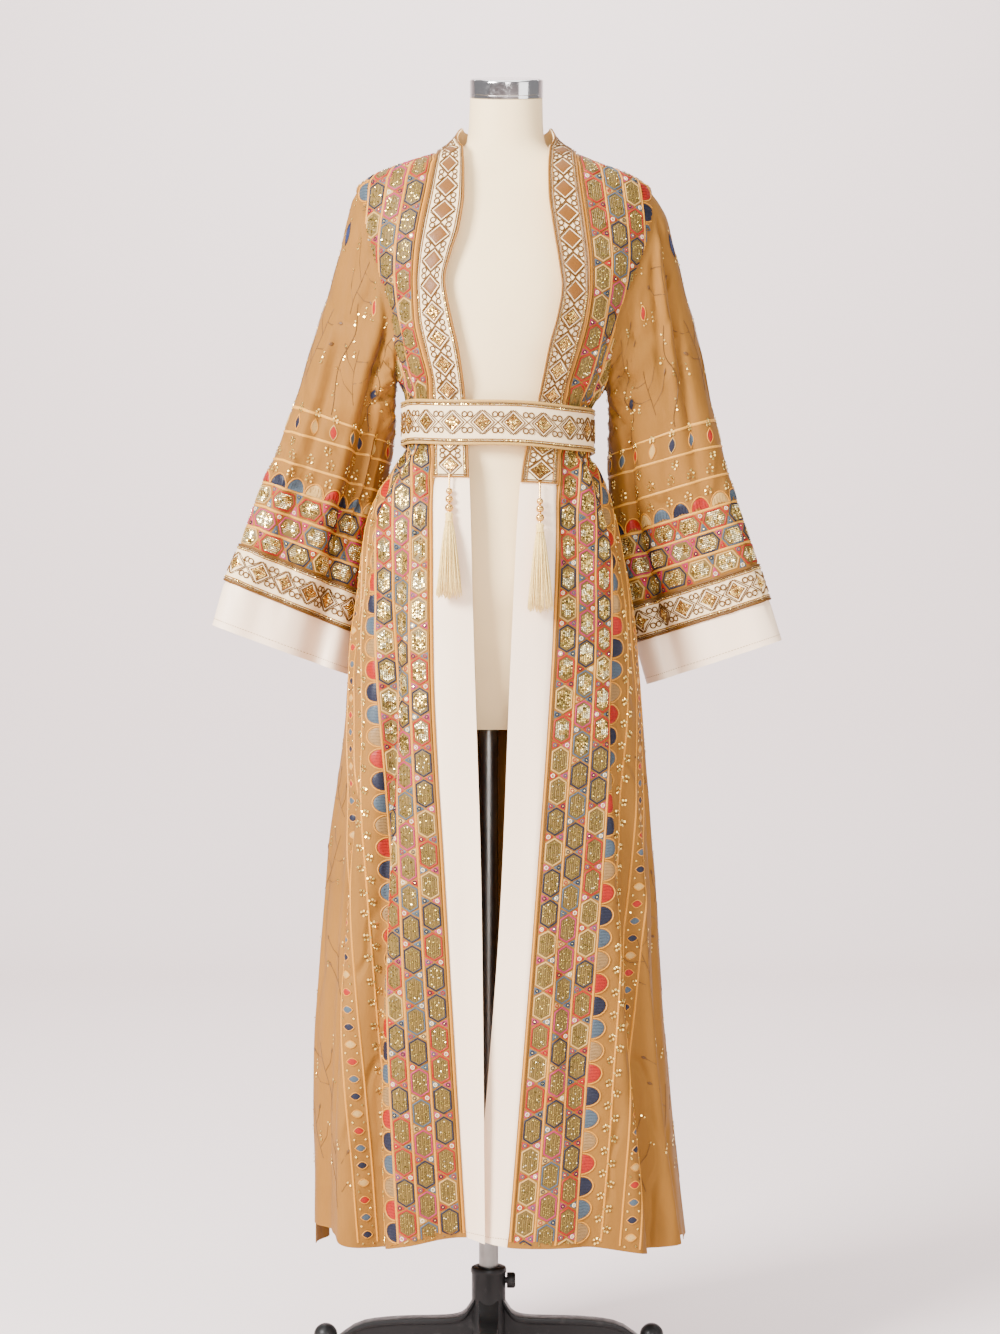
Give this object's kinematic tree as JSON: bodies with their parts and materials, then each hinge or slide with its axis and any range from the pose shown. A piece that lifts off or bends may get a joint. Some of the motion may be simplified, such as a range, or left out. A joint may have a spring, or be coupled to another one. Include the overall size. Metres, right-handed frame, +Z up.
{
  "type": "abaya cloak on a limbless dress form",
  "caption": "Open-front embroidered abaya cloak with bell sleeves, diamond trim and belt, worn on a limbless dress form with pole and iron base.",
  "frame": {"origin": "on the floor below the middle of the whole, between the sleeves' outer edges", "axes": "+Z up, +Y backward so the front faces -Y, +X towards the wearer's left sleeve"},
  "size_m": [0.7708, 0.472, 1.7673],
  "materials": {
    "tan_cloth": "soft matte camel cloth",
    "cream_cloth": "cream satin",
    "diamond_trim": "cream ribbon with gold diamonds",
    "tassel_silk": "pale gold silk",
    "gold_bead": "gold plated bead",
    "form_cover": "smooth cream jersey",
    "cap_chrome": "polished chrome",
    "pole_steel": "worn steel tube",
    "black_iron": "black painted casting"
  },
  "bodies": {
    "base": {"base_hub": "black_iron", "leg_1": "black_iron", "leg_2": "black_iron", "leg_3": "black_iron", "leg_4": "black_iron", "foot_1": "black_iron", "foot_2": "black_iron", "foot_3": "black_iron", "foot_4": "black_iron"},
    "pole": {"pole": "pole_steel"},
    "form": {"back_panel": "tan_cloth", "front_left": "tan_cloth", "front_right": "tan_cloth", "sleeve_left": "tan_cloth", "sleeve_right": "tan_cloth", "cuff_left": "cream_cloth", "cuff_right": "cream_cloth", "front_band_left": "cream_cloth", "front_band_right": "cream_cloth", "front_trim_left": "diamond_trim", "front_trim_right": "diamond_trim", "collar_trim": "diamond_trim", "sleeve_trim_left": "diamond_trim", "sleeve_trim_right": "diamond_trim", "belt": "diamond_trim", "tassel_cord_left": "gold_bead", "tassel_cord_right": "gold_bead", "tassel_left": "tassel_silk", "tassel_right": "tassel_silk", "form_torso": "form_cover", "neck_cap": "cap_chrome"},
    "clamp_screw": {"clamp_screw": "black_iron"}
  },
  "joints": [
    {"name": "pole_height", "type": "slide", "parent": "base", "child": "pole", "axis": [0, 0, 1], "range_m": [0, 0.1]},
    {"name": "form_turn", "type": "hinge", "parent": "pole", "child": "form", "pos_m": [-0.0113, 0, 0.88], "axis": [0, 0, 1], "continuous": true},
    {"name": "clamp_screw_turn", "type": "hinge", "parent": "base", "child": "clamp_screw", "pos_m": [-0.0113, 0, 0.135], "axis": [1, 0, 0], "continuous": true}
  ]
}
